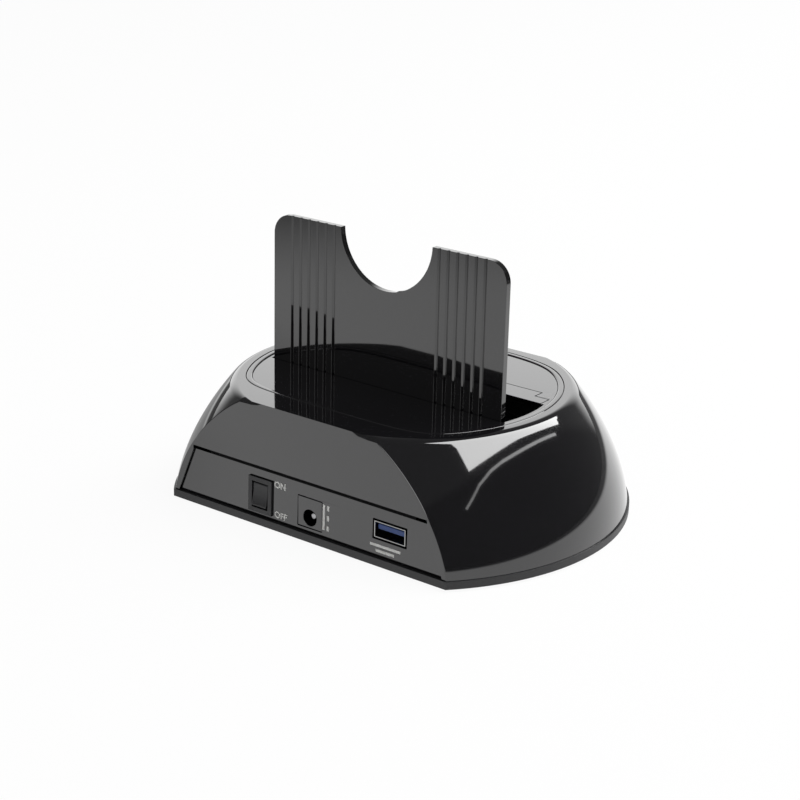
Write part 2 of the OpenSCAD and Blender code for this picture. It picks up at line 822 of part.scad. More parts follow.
module dc_jack_pin() {
  color(steel) jack_axis() translate([0, 0, pin_back]) cylinder(d = jack_pin, h = jack_deep - pin_back);
}

module usb_shell() {
  flange_w = usb_out_w + 2 * usb_flange;
  flange_h = usb_out_h + 2 * usb_flange;
  color(steel) translate([usb_x, socket_y, usb_z]) difference() {
    union() {
      span(usb_out_w, 0, usb_l, -usb_out_h / 2, usb_out_h / 2);
      span(flange_w, usb_flange_in, usb_flange_in + usb_sheet, -flange_h / 2, flange_h / 2);
    }
    span(usb_in_w, -over, usb_l - usb_sheet, -usb_in_h / 2, usb_in_h / 2);
  }
}

module usb_tongue() {
  color(usb_blue) translate([usb_x, socket_y + tongue_in, 0]) {
    span(tongue_w, 0, tongue_l, tongue_z, tongue_z + tongue_t);
    span(usb_in_w, tongue_l - tongue_root, tongue_l, usb_z - usb_in_h / 2, usb_z + usb_in_h / 2);
  }
}

module usb_contacts() {
  color(gold) for (i = [-1.5 : 1 : 1.5]) translate([usb_x + usb_pitch * i, socket_y + tongue_in, 0])
    span(contact_w, contact_in, tongue_l - tongue_root, tongue_z - contact_t, tongue_z);
}

// Board and its parts
module at_board_screws() {
  for (y = board_screw_y, s = [-1, 1]) translate([s * board_screw_x, y]) children();
}

module main_board() {
  color(board_green) difference() {
    intersection() {
      span(board_w, board_y0, board_y1, board_z, board_top);
      linear_extrude(rim_h) base_outline(board_top, skin + run);
    }
    at_board_screws() translate([0, 0, board_z - over]) cylinder(d = screw_d + fit, h = board_t + 2 * over);
    // room for the back of the switch
    translate([switch_x, 0, 0])
      span(switch_w, board_y0 - over, switch_back_y + 2 * run, board_z - over, board_top + over);
  }
}

// Length of the groove over a group of drive contacts
function sata_groove(count) = (count + 1) * sata_pitch;

module sata_connector() {
  color(satin_black) difference() {
    translate([sata_x, sata_y, board_top]) span(sata_w, -sata_d / 2, sata_d / 2, 0, sata_h);
    for (g = sata_groups) translate([sata_x + g[0], sata_y, board_top + sata_h])
      span(sata_groove(g[1]), -sata_slot / 2, sata_slot / 2, -sata_deep, over);
  }
}

module sata_contacts() {
  color(gold) for (g = sata_groups, i = [0 : g[1] - 1])
    translate([sata_x + g[0] + (i - (g[1] - 1) / 2) * sata_pitch, sata_y + sata_slot / 2, board_top + sata_h])
      span(sata_contact_w, -contact_t, 0, -sata_deep, -contact_in);
}

// Part hung under the board, its place measured from the middle of the well's near edge
module under_board(place, h) {
  translate([place[0], well_y0 + place[1], board_z - h]) linear_extrude(h) children();
}

module bridge_chip() {
  color(chip_black) under_board(bridge_at, chip_h) square(bridge_size, center = true);
}

module flash_chip() {
  color(chip_black) under_board(flash_at, chip_h) square(flash_size, center = true);
}

module crystal() {
  color(steel) under_board(crystal_at, crystal_h) rounded(crystal_w, crystal_d, crystal_d / 2 - fit);
}

module inductor() {
  color(can_grey) under_board(inductor_at, inductor_h) rounded(inductor_w, inductor_w, inductor_r);
}

module capacitors() {
  color(can_grey) for (place = cap_at) under_board(place, cap_h) circle(d = cap_d);
}

// Status light in the front face
module led_lens() {
  color(clear_lens) front_face() translate([0, led_v, 0]) {
    translate([0, 0, -wall]) cylinder(d = lens_d, h = wall + lens_out);
    translate([0, 0, lens_base]) cylinder(d = lens_d + 2 * lens_flange, h = lens_flange_t);
  }
}

module led() {
  color(clear_lens) front_face() translate([0, led_v, led_base]) cylinder(d = led_d, h = led_l);
}

module led_board() {
  color(board_green) front_face() translate([0, led_v, led_board_base]) linear_extrude(board_t)
    square([led_board_w, led_board_h], center = true);
}

// Base
module bottom_cover() {
  upstand_z = lip_h + upstand_h;
  upstand_in = skin + 2 * fit;
  color(satin_black) difference() {
    union() {
      translate([0, 0, foot_out]) linear_extrude(cover_t) base_outline(lip_h, -lip_out);
      translate([0, 0, foot_out]) linear_extrude(lip_h - foot_out) difference() {
        base_outline(lip_h, -lip_out);
        base_outline(lip_h, skin);
      }
      // upstand that locates the shell, open at the connector panel
      translate([0, 0, foot_out]) linear_extrude(upstand_z - foot_out) difference() {
        base_outline(upstand_z, upstand_in);
        base_outline(upstand_z, upstand_in + upstand_t);
        translate([-panel_low - 2 * wall, -body_d]) square([2 * panel_low + 4 * wall, body_d - case_screw_y]);
      }
      at_corners(case_screw_x, case_screw_y) translate([0, 0, foot_out])
        cylinder(d = post_d, h = cover_t + screw_head_h);
      for (s = [-1, 1]) {
        translate([s * cover_post_x, cover_post_y[0], foot_out]) cylinder(d = post_d, h = board_z - foot_out);
        translate([s * cover_post_x, cover_post_y[1], foot_out])
          cylinder(d = post_d, h = recess_z - well_wall - foot_out);
      }
      // post behind the light's board
      front_face() translate([-led_post_w / 2, led_post_v, led_post_base])
        cube([led_post_w, led_v + led_board_h / 2 - led_post_v, led_post_t]);
    }
    at_corners(case_screw_x, case_screw_y) {
      cylinder(d = screw_d + fit, h = rim_h);
      cylinder(d = screw_head_d + 2 * run, h = cover_top);
    }
    at_corners(foot_x, foot_y) cylinder(d = foot_d + fit, h = foot_out + foot_pocket);
    for (s = [-1, 1], i = [0 : vent_count - 1])
      translate([(i - (vent_count - 1) / 2) * vent_pitch, s * vent_y, 0]) linear_extrude(cover_top + over)
        rounded(vent_w, vent_l, vent_w / 2 - fit);
  }
}

module rubber_feet() {
  color(rubber_black) at_corners(foot_x, foot_y) cylinder(d = foot_d, h = foot_out + foot_pocket);
}

module case_screws() {
  color(steel) at_corners(case_screw_x, case_screw_y) translate([0, 0, cover_top])
    screw(screw_head_h + case_screw_l);
}

module board_screws() {
  color(steel) at_board_screws() translate([0, 0, board_z]) screw(board_t + board_gap + well_wall / 2 - fit);
}

module well_screws() {
  color(steel) at_well_ears() translate([0, 0, deck_low - well_ear_h]) screw(well_ear_h + deck_bite);
}

top_shell();
rim_ring();
deck_insert();
support_plate();
slot_flap();
flap_pin();
flap_spring();
drive_well();
rear_panel();
switch_housing();
switch_rocker();
dc_jack_body();
dc_jack_pin();
usb_shell();
usb_tongue();
usb_contacts();
main_board();
sata_connector();
sata_contacts();
bridge_chip();
flash_chip();
crystal();
inductor();
capacitors();
led_board();
led();
led_lens();
bottom_cover();
rubber_feet();
case_screws();
board_screws();
well_screws();
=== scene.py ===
import json
import math

import bmesh
import bpy
from mathutils import Matrix, Quaternion, Vector


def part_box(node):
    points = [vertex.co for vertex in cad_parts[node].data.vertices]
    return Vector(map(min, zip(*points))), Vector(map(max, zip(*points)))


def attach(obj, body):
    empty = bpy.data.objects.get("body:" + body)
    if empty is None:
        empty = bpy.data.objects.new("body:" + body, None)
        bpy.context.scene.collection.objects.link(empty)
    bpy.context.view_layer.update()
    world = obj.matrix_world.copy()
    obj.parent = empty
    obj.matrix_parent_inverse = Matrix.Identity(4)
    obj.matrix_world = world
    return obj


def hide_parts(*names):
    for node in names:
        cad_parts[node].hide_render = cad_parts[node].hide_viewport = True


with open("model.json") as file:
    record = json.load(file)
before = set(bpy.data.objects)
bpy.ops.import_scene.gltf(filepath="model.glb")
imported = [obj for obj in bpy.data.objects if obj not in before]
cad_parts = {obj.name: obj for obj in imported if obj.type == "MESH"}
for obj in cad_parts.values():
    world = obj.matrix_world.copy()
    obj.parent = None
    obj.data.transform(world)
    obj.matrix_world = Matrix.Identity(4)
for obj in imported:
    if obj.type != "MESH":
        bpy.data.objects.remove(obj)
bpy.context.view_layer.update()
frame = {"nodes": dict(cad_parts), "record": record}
nodes = frame["nodes"]
scene = bpy.context.scene
mm = 0.001
print("frame loaded with", len(nodes), "nodes")


# camera, fitted to the plate, the round deck and the foot of the dock
view = {
    "place": (0.3972, -0.5223, 0.2714),
    "target": (0.0079, -0.0128, 0.0431),
    "roll": 1.43,
    "lens": 86.24,
    "sensor": 36,
}


def makeCamera():
    data = bpy.data.cameras.new("camera")
    data.lens = view["lens"]
    data.sensor_width = view["sensor"]
    camera = bpy.data.objects.new("camera", data)
    scene.collection.objects.link(camera)
    camera.location = view["place"]
    sight = Vector(view["target"]) - Vector(view["place"])
    roll = Quaternion((0, 0, 1), math.radians(view["roll"]))
    camera.rotation_euler = (sight.to_track_quat("-Z", "Y") @ roll).to_euler()
    scene.camera = camera


makeCamera()
print("camera set")


# shader node helpers
def addNode(tree, kind, **values):
    node = tree.nodes.new(kind)
    for key, value in values.items():
        setattr(node, key, value)
    return node


def link(tree, source, target):
    tree.links.new(source, target)


def mathNode(tree, operation, first, second):
    node = addNode(tree, "ShaderNodeMath", operation=operation)
    for socket, value in zip(node.inputs, (first, second)):
        if isinstance(value, bpy.types.NodeSocket):
            link(tree, value, socket)
        else:
            socket.default_value = value
    return node.outputs[0]


def newGroup(name, inputs, outputs):
    group = bpy.data.node_groups.new(name, "ShaderNodeTree")
    for label, kind, value in inputs:
        socket = group.interface.new_socket(label, in_out="INPUT", socket_type=kind)
        socket.default_value = value
    for label, kind in outputs:
        group.interface.new_socket(label, in_out="OUTPUT", socket_type=kind)
    return group, group.nodes.new("NodeGroupInput"), group.nodes.new("NodeGroupOutput")


def noiseOn(tree, vector, scale, detail):
    noise = addNode(tree, "ShaderNodeTexNoise")
    noise.inputs["Detail"].default_value = detail
    link(tree, vector, noise.inputs["Vector"])
    if isinstance(scale, bpy.types.NodeSocket):
        link(tree, scale, noise.inputs["Scale"])
    else:
        noise.inputs["Scale"].default_value = scale
    return noise.outputs["Fac"]


# value + spread * (noise - 0.5)
def spreadBy(tree, value, spread, noise):
    centred = mathNode(tree, "SUBTRACT", noise, 0.5)
    return mathNode(tree, "ADD", value, mathNode(tree, "MULTIPLY", centred, spread))


noiseDetail = {"cloud": 4, "grain": 2, "lines": 3}
brushStretch = (0.08, 1, 1)     # draws the noise out along X
bumpDepth = 0.1 * mm


# moulded plastic: cloudy tone, uneven polish and a fine grain
def makeMouldGroup():
    group, given, put = newGroup(
        "mouldedSkin",
        [
            ("Color", "NodeSocketColor", (0.02, 0.02, 0.02, 1)),
            ("Tone Spread", "NodeSocketFloat", 0.2),
            ("Roughness", "NodeSocketFloat", 0.3),
            ("Roughness Spread", "NodeSocketFloat", 0.1),
            ("Cloud Scale", "NodeSocketFloat", 60),
            ("Grain Scale", "NodeSocketFloat", 2500),
        ],
        [("Color", "NodeSocketColor"), ("Roughness", "NodeSocketFloat"), ("Grain", "NodeSocketFloat")],
    )
    place = addNode(group, "ShaderNodeTexCoord").outputs["Object"]
    cloud = noiseOn(group, place, given.outputs["Cloud Scale"], noiseDetail["cloud"])
    grain = noiseOn(group, place, given.outputs["Grain Scale"], noiseDetail["grain"])
    tone = spreadBy(group, 1.0, given.outputs["Tone Spread"], cloud)
    shade = addNode(group, "ShaderNodeVectorMath", operation="SCALE")
    link(group, given.outputs["Color"], shade.inputs[0])
    link(group, tone, shade.inputs["Scale"])
    rough = spreadBy(group, given.outputs["Roughness"], given.outputs["Roughness Spread"], cloud)
    link(group, shade.outputs[0], put.inputs["Color"])
    link(group, rough, put.inputs["Roughness"])
    link(group, grain, put.inputs["Grain"])
    return group


# metal: lines drawn out along X, with uneven polish between them
def makeBrushGroup():
    group, given, put = newGroup(
        "drawnMetal",
        [
            ("Color", "NodeSocketColor", (0.6, 0.6, 0.6, 1)),
            ("Tone Spread", "NodeSocketFloat", 0.2),
            ("Roughness", "NodeSocketFloat", 0.3),
            ("Roughness Spread", "NodeSocketFloat", 0.1),
            ("Line Scale", "NodeSocketFloat", 1500),
        ],
        [("Color", "NodeSocketColor"), ("Roughness", "NodeSocketFloat"), ("Lines", "NodeSocketFloat")],
    )
    place = addNode(group, "ShaderNodeTexCoord").outputs["Object"]
    stretch = addNode(group, "ShaderNodeVectorMath", operation="MULTIPLY")
    stretch.inputs[1].default_value = brushStretch
    link(group, place, stretch.inputs[0])
    lines = noiseOn(group, stretch.outputs[0], given.outputs["Line Scale"], noiseDetail["lines"])
    tone = spreadBy(group, 1.0, given.outputs["Tone Spread"], lines)
    shade = addNode(group, "ShaderNodeVectorMath", operation="SCALE")
    link(group, given.outputs["Color"], shade.inputs[0])
    link(group, tone, shade.inputs["Scale"])
    rough = spreadBy(group, given.outputs["Roughness"], given.outputs["Roughness Spread"], lines)
    link(group, shade.outputs[0], put.inputs["Color"])
    link(group, rough, put.inputs["Roughness"])
    link(group, lines, put.inputs["Lines"])
    return group


mouldGroup = makeMouldGroup()
brushGroup = makeBrushGroup()


def startMaterial(name):
    material = bpy.data.materials.new(name)
    material.use_nodes = True
    tree = material.node_tree
    return material, tree, tree.nodes["Principled BSDF"]


# group with its own values, its outputs wired to the shader and its height to a bump
def wearGroup(tree, shader, group, values, height, bump):
    skin = addNode(tree, "ShaderNodeGroup", node_tree=group)
    for label, value in values.items():
        skin.inputs[label].default_value = value
    link(tree, skin.outputs["Color"], shader.inputs["Base Color"])
    link(tree, skin.outputs["Roughness"], shader.inputs["Roughness"])
    relief = addNode(tree, "ShaderNodeBump")
    relief.inputs["Strength"].default_value = bump
    relief.inputs["Distance"].default_value = bumpDepth
    link(tree, skin.outputs[height], relief.inputs["Height"])
    link(tree, relief.outputs["Normal"], shader.inputs["Normal"])


# plastics: colour, how much the tone clouds, gloss and how deep the grain is
plastics = {
    "gloss_black": {
        "Color": (0.0036, 0.0034, 0.0044, 1), "Tone Spread": 0.5, "Roughness": 0.06,
        "Roughness Spread": 0.05, "Cloud Scale": 45, "Grain Scale": 900, "bump": 0.004, "coat": 1.0,
    },
    "satin_black": {
        "Color": (0.016, 0.016, 0.0175, 1), "Tone Spread": 0.3, "Roughness": 0.42,
        "Roughness Spread": 0.16, "Cloud Scale": 80, "Grain Scale": 3200, "bump": 0.12, "coat": 0.0,
    },
    "blue_plastic": {
        "Color": (0.016, 0.05, 0.19, 1), "Tone Spread": 0.2, "Roughness": 0.38,
        "Roughness Spread": 0.12, "Cloud Scale": 160, "Grain Scale": 4000, "bump": 0.06, "coat": 0.0,
    },
    "chip": {
        "Color": (0.02, 0.02, 0.021, 1), "Tone Spread": 0.35, "Roughness": 0.55,
        "Roughness Spread": 0.16, "Cloud Scale": 300, "Grain Scale": 6000, "bump": 0.14, "coat": 0.0,
    },
    "board": {
        "Color": (0.012, 0.11, 0.045, 1), "Tone Spread": 0.4, "Roughness": 0.3,
        "Roughness Spread": 0.14, "Cloud Scale": 220, "Grain Scale": 1800, "bump": 0.05, "coat": 0.4,
    },
    "rubber": {
        "Color": (0.014, 0.014, 0.014, 1), "Tone Spread": 0.4, "Roughness": 0.72,
        "Roughness Spread": 0.16, "Cloud Scale": 260, "Grain Scale": 4200, "bump": 0.22, "coat": 0.0,
    },
}

# clear coat of the plastics, and how much they mirror
polish = {"ior": 1.5, "coatRoughness": 0.03, "coatIor": 1.55}

# drawn metals: colour, how much the lines show, polish and how deep the lines are
metals = {
    "steel": {
        "Color": (0.42, 0.42, 0.43, 1), "Tone Spread": 0.25, "Roughness": 0.3,
        "Roughness Spread": 0.14, "Line Scale": 2400, "bump": 0.05,
    },
    "nickel": {
        "Color": (0.36, 0.36, 0.355, 1), "Tone Spread": 0.25, "Roughness": 0.24,
        "Roughness Spread": 0.12, "Line Scale": 1600, "bump": 0.04,
    },
    "gold": {
        "Color": (0.83, 0.6, 0.2, 1), "Tone Spread": 0.2, "Roughness": 0.22,
        "Roughness Spread": 0.1, "Line Scale": 3000, "bump": 0.03,
    },
    "can": {
        "Color": (0.5, 0.5, 0.52, 1), "Tone Spread": 0.2, "Roughness": 0.28,
        "Roughness Spread": 0.12, "Line Scale": 1800, "bump": 0.04,
    },
}


def makePlastic(name):
    look = dict(plastics[name])
    bump = look.pop("bump")
    coat = look.pop("coat")
    material, tree, shader = startMaterial(name)
    wearGroup(tree, shader, mouldGroup, look, "Grain", bump)
    shader.inputs["IOR"].default_value = polish["ior"]
    shader.inputs["Coat Weight"].default_value = coat
    shader.inputs["Coat Roughness"].default_value = polish["coatRoughness"]
    shader.inputs["Coat IOR"].default_value = polish["coatIor"]
    return material


def makeMetal(name):
    look = dict(metals[name])
    bump = look.pop("bump")
    material, tree, shader = startMaterial(name)
    wearGroup(tree, shader, brushGroup, look, "Lines", bump)
    shader.inputs["Metallic"].default_value = 1.0
    return material


# milky clear plastic of the status light
clearLook = {
    "Color": (0.8, 0.87, 0.95, 1), "Tone Spread": 0.1, "Roughness": 0.12,
    "Roughness Spread": 0.08, "Cloud Scale": 300, "Grain Scale": 3000,
}
clearBody = {"bump": 0.02, "transmission": 0.85, "ior": 1.49}


def makeClear():
    material, tree, shader = startMaterial("clear")
    wearGroup(tree, shader, mouldGroup, clearLook, "Grain", clearBody["bump"])
    shader.inputs["Transmission Weight"].default_value = clearBody["transmission"]
    shader.inputs["IOR"].default_value = clearBody["ior"]
    return material


# white printing ink
inkLook = {
    "Color": (0.72, 0.72, 0.7, 1), "Tone Spread": 0.25, "Roughness": 0.5,
    "Roughness Spread": 0.2, "Cloud Scale": 900, "Grain Scale": 5000,
}
inkBump = 0.05


def makeInk():
    material, tree, shader = startMaterial("print_ink")
    wearGroup(tree, shader, mouldGroup, inkLook, "Grain", inkBump)
    return material


finishes = {name: makePlastic(name) for name in plastics}
finishes.update({name: makeMetal(name) for name in metals})
finishes["clear"] = makeClear()
printInk = makeInk()
print("materials made:", len(finishes) + 1)


# edges sharper than the angle are rounded, and flat faces keep their shading
rounding = {"angle": 28, "flatWeight": 60, "segments": 2}


# mesh object that rides on a body, and may stand for a CAD node
def addPiece(name, bm, finish, body, replaced):
    data = bpy.data.meshes.new(name)
    bmesh.ops.recalc_face_normals(bm, faces=bm.faces)
    bm.to_mesh(data)
    bm.free()
    data.polygons.foreach_set("use_smooth", [True] * len(data.polygons))
    data.materials.append(finish)
    piece = bpy.data.objects.new(name, data)
    scene.collection.objects.link(piece)
    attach(piece, body)
    if replaced:
        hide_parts(replaced)
    return piece


def roundEdges(piece, width, segments, method):
    bevel = piece.modifiers.new("roundEdges", "BEVEL")
    bevel.width = width
    bevel.segments = segments
    bevel.limit_method = method
    bevel.angle_limit = math.radians(rounding["angle"])
    bevel.use_clamp_overlap = True
    bevel.miter_outer = "MITER_ARC"
    even = piece.modifiers.new("evenShading", "WEIGHTED_NORMAL")
    even.weight = rounding["flatWeight"]
    even.keep_sharp = True


# dome shell
shell = {
    "baseWidth": 166.6 * mm,
    "baseDepth": 111.6 * mm,    # between the flat faces
    "ovalDepth": 168 * mm,      # of the dome without its flat faces
    "rimWidth": 123.6 * mm,
    "rimOvalDepth": 123.6 * mm,
    "endBow": 4.3 * mm,
    "sideBow": 4.3 * mm,
    "faceLean": 1 * mm,
    "rimRound": 1.6 * mm,
    "wall": 2.4 * mm,
    "skin": 3.16 * mm,          # wall of the dome, measured level
    "ledge": 23 * mm,           # top of the panel's opening, along the face
    "panelTop": 21.4 * mm,      # upper edge of the panel, below the groove
    "panelFoot": 4 * mm,
    "panelRecess": 0.9 * mm,
    "panelMargin": 1.85 * mm,   # left between the opening and the arch
    "domeColumns": 96,
    "faceColumns": 10,
    "lowRows": 9,
    "highRows": 16,
    "roundRows": 6,
    "innerClear": 0.5 * mm,     # least height from the last inner row to the ceiling
    "archRound": 0.75 * mm,
    "archSegments": 4,
    "trimRound": 0.3 * mm,
}
# round deck with its ring, straight at the connector side and at the far side
deck = {
    "radius": 55.3 * mm,
    "near": 41 * mm,            # from the middle to the straight edge at the connectors
    "far": 49.2 * mm,
    "cornerPower": 14,          # lower for rounder corners
    "ringWidth": 2.3 * mm,
    "flange": 3.5 * mm,         # step of the deck under the ring
    "gap": 0.15 * mm,
    "turnSteps": 240,
    "edgeRound": 0.3 * mm,
    "ringRound": 0.45 * mm,
}
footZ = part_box("top_shell")[0].z
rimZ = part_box("top_shell")[1].z
ceilingZ = rimZ - shell["wall"]
roundZ = rimZ - shell["rimRound"]
faceAngle = math.atan(shell["faceLean"] / rimZ)
faceWall = shell["wall"] / math.cos(faceAngle)


def domeHalf(z, low, top, bow):
    t = z / rimZ
    return (low + (top - low) * t) / 2 + 4 * bow * t * (1 - t)


def domeX(z):
    return domeHalf(z, shell["baseWidth"], shell["rimWidth"], shell["endBow"])


def domeY(z):
    return domeHalf(z, shell["ovalDepth"], shell["rimOvalDepth"], shell["sideBow"])


def faceY(z):
    return shell["baseDepth"] / 2 - shell["faceLean"] * z / rimZ


# half width of the flat face where it meets the dome
def faceHalf(z, inset, wall):
    return (domeX(z) - inset) * math.sqrt(1 - ((faceY(z) - wall) / (domeY(z) - inset)) ** 2)


ledgeZ = shell["ledge"] * math.cos(faceAngle)
panelTopZ = shell["panelTop"] * math.cos(faceAngle)
panelZ = shell["panelFoot"] * math.cos(faceAngle)


# half width of the panel's opening, which narrows up to the panel's top and stays so in the groove
def openingHalf(z):
    low = faceHalf(panelZ, 0, 0) - shell["panelMargin"]
    top = faceHalf(panelTopZ, 0, 0) - shell["panelMargin"]
    if z <= ledgeZ:
        t = max(0, min(1, (z - panelZ) / (panelTopZ - panelZ)))
        return low + (top - low) * t
    return top * faceHalf(z, 0, 0) / faceHalf(ledgeZ, 0, 0)


# one ring of the shell: right end, front face, left end, rear face
def shellRing(z, inset, wall):
    halfX = domeX(z) - inset
    halfY = domeY(z) - inset
    flat = faceY(z) - wall
    edge = math.asin(min(1, flat / halfY))
    half = halfX * math.cos(edge)
    count = shell["domeColumns"]
    steps = shell["faceColumns"]
    angles = [edge * (2 * k / count - 1) for k in range(count + 1)]
    right = [(halfX * math.cos(a), halfY * math.sin(a), z) for a in angles]
    front = [(half * (1 - 2 * k / steps), flat, z) for k in range(1, steps)]
    left = [(-x, -y, z) for x, y, z in right]
    gap = openingHalf(z)
    rear = [(gap * (2 * k / steps - 1), -flat, z) for k in range(steps + 1)]
    return right + front + left + rear


# rings of the rounded rim keep the columns of the ring below it
def rimRing(angle):
    z = roundZ + shell["rimRound"] * math.sin(angle)
    inset = shell["rimRound"] * (1 - math.cos(angle))
    points = []
    for x, y, low in shellRing(roundZ, 0, 0):
        turn = math.atan2(y / domeY(low), x / domeX(low))
        x = (domeX(z) - inset) * math.cos(turn)
        y = (domeY(z) - inset) * math.sin(turn)
        points.append((x, max(-faceY(z), min(faceY(z), y)), z))
    return points


# point of the deck's outline, grown by a margin, in the direction of a point
def deckPoint(x, y, margin):
    power = deck["cornerPower"]
    side = margin + (deck["far"] if y > 0 else deck["near"])
    reach = (math.hypot(x, y) / (deck["radius"] + margin)) ** power + (abs(y) / side) ** power
    grow = reach ** (-1 / power)
    return x * grow, y * grow


def makeShell():
    lowRows = shell["lowRows"]
    highRows = shell["highRows"]
    panelRows = [panelZ + (panelTopZ - panelZ) * k / lowRows for k in range(lowRows + 1)]
    lowZ = [footZ] + panelRows + [ledgeZ]
    highZ = [ledgeZ + (roundZ - ledgeZ) * k / highRows for k in range(1, highRows + 1)]
    outerZ = lowZ + highZ
    innerZ = [z for z in outerZ if z < ceilingZ - shell["innerClear"]]
    rings = [shellRing(z, 0, 0) for z in outerZ]
    arcs = [math.pi / 2 * (k + 1) / shell["roundRows"] for k in range(shell["roundRows"])]
    rings += [rimRing(a) for a in arcs]
    margin = deck["ringWidth"] + deck["gap"]
    for z in (rimZ, ceilingZ):
        rings.append([deckPoint(x, y, margin) + (z,) for x, y, low in rings[len(outerZ) - 1]])
    rings.append(shellRing(ceilingZ, shell["skin"], faceWall))
    rings += [shellRing(z, shell["skin"], faceWall) for z in reversed(innerZ)]

    bm = bmesh.new()
    weight = bm.edges.layers.float.new("bevel_weight_edge")
    verts = [[bm.verts.new(p) for p in ring] for ring in rings]
    count = len(verts[0])
    openLeft = count - shell["faceColumns"] - 1
    openRight = count - 1
    lowCount = len(lowZ)
    last = len(rings) - 1

    def inOpening(row, column):
        low = row < lowCount - 1 or row > last - lowCount
        return low and openLeft <= column < openRight

    for row in range(len(rings)):
        below = verts[row]
        above = verts[(row + 1) % len(rings)]
        for k in range(count):
            if inOpening(row, k):
                continue
            n = (k + 1) % count
            bm.faces.new((below[k], below[n], above[n], above[k]))
    # reveal of the panel's opening
    for row in range(lowCount - 1):
        far = last - row
        for k in (openLeft, openRight):
            bm.faces.new((verts[row][k], verts[row + 1][k], verts[far - 1][k], verts[far][k]))
    ledge = lowCount - 1
    outside = verts[ledge]
    inside = verts[last - ledge]
    for k in range(openLeft, openRight):
        bm.faces.new((outside[k], outside[k + 1], inside[k + 1], inside[k]))
    bmesh.ops.delete(bm, geom=[v for v in bm.verts if not v.link_faces], context="VERTS")

    # weights of the edges that are rounded: arches, opening, foot and rim of the deck
    trim = shell["trimRound"] / shell["archRound"]
    archEnd = len(outerZ) - 1
    columns = shell["domeColumns"] + 1
    front = columns + shell["faceColumns"] - 1
    arches = [0, columns - 1, front, front + columns - 1]

    def mark(a, b, value):
        edge = bm.edges.get((a, b))
        if edge:
            edge[weight] = value

    for row in range(archEnd):
        for k in arches:
            mark(verts[row][k], verts[row + 1][k], 1)
        for k in (openLeft, openRight):
            if row < ledge:
                mark(verts[row][k], verts[row + 1][k], trim)
    for k in range(openLeft, openRight):
        mark(verts[ledge][k], verts[ledge][k + 1], trim)
    deckRim = verts[len(outerZ) + len(arcs)]
    for k in range(count):
        n = (k + 1) % count
        mark(deckRim[k], deckRim[n], trim)
        if not openLeft <= k < openRight:
            mark(verts[0][k], verts[0][n], trim)
    piece = addPiece("dome_shell", bm, finishes["gloss_black"], "housing", "top_shell")
    roundEdges(piece, shell["archRound"], shell["archSegments"], "WEIGHT")


makeShell()
print("dome shell made")


# mouth of the slot in the deck
mouth = {
    "middle": (0, 3 * mm),
    "margin": 1.2 * mm,         # from the deck's edge to the round ends
    "front": -12.95 * mm,
    "flapEdge": 11.45 * mm,
    "wellHalf": 51.6 * mm,
    "wellEnd": 17.05 * mm,
    "hingeHalf": 45.6 * mm,
    "back": 21.65 * mm,
    "arcSteps": 90,
    "cornerTurn": 0.15,         # an outline that turns more than this has a corner
    "slack": 1e-6,              # share of a side by which a ray may miss its ends
}


# points of an arc about the middle, from one y to another, on the right
def arcPoints(radius, low, high):
    start = math.asin(low / radius)
    sweep = math.asin(high / radius) - start
    count = mouth["arcSteps"]
    turns = [start + sweep * k / count for k in range(count + 1)]
    return [(radius * math.cos(a), radius * math.sin(a)) for a in turns]


def bothSides(right):
    return right + [(-x, y) for x, y in reversed(right)]


def deckOutline(margin):
    step = 2 * math.pi / deck["turnSteps"]
    turns = [step * k for k in range(deck["turnSteps"])]
    return [deckPoint(math.cos(a), math.sin(a), margin) for a in turns]


def mouthOutline():
    right = arcPoints(deck["radius"] - mouth["margin"], mouth["front"], mouth["flapEdge"])
    right += [(mouth["wellHalf"], mouth["flapEdge"]), (mouth["wellHalf"], mouth["wellEnd"])]
    right += [(mouth["hingeHalf"], mouth["wellEnd"]), (mouth["hingeHalf"], mouth["back"])]
    return bothSides(right)


# where a ray from the middle of the mouth meets an outline
def meetOutline(outline, turn):
    cx, cy = mouth["middle"]
    dx, dy = math.cos(turn), math.sin(turn)
    for (ax, ay), (bx, by) in zip(outline, outline[1:] + outline[:1]):
        ex, ey = bx - ax, by - ay
        cross = dx * ey - dy * ex
        if cross == 0:
            continue
        reach = ((ax - cx) * ey - (ay - cy) * ex) / cross
        share = ((ax - cx) * dy - (ay - cy) * dx) / cross
        if reach > 0 and -mouth["slack"] <= share <= 1 + mouth["slack"]:
            return cx + reach * dx, cy + reach * dy


def turnBetween(a, b):
    return abs(math.remainder(a - b, 2 * math.pi))


# turns about the middle of the mouth, with those of each outline's corners
def outlineTurns(outlines):
    cx, cy = mouth["middle"]
    corners = []
    for outline in outlines:
        earlier = outline[-1:] + outline[:-1]
        later = outline[1:] + outline[:1]
        for before, here, after in zip(earlier, outline, later):
            come = math.atan2(here[1] - before[1], here[0] - before[0])
            go = math.atan2(after[1] - here[1], after[0] - here[0])
            if turnBetween(go, come) > mouth["cornerTurn"]:
                corners.append(math.atan2(here[1] - cy, here[0] - cx))
    step = 2 * math.pi / deck["turnSteps"]
    even = [step * k - math.pi for k in range(deck["turnSteps"])]
    # even turns that crowd a corner are left out
    clear = [a for a in even if all(turnBetween(a, b) > step / 3 for b in corners)]
    return sorted(clear + corners)


# closed band through outlines at heights, column by column
def loftOutlines(loops):
    turns = outlineTurns([outline for outline, z in loops])
    bm = bmesh.new()
    columns = []
    for turn in turns:
        columns.append([bm.verts.new(meetOutline(outline, turn) + (z,)) for outline, z in loops])
    for here, after in zip(columns, columns[1:] + columns[:1]):
        for k in range(len(loops)):
            n = (k + 1) % len(loops)
            bm.faces.new((here[k], after[k], after[n], here[n]))
    return bm


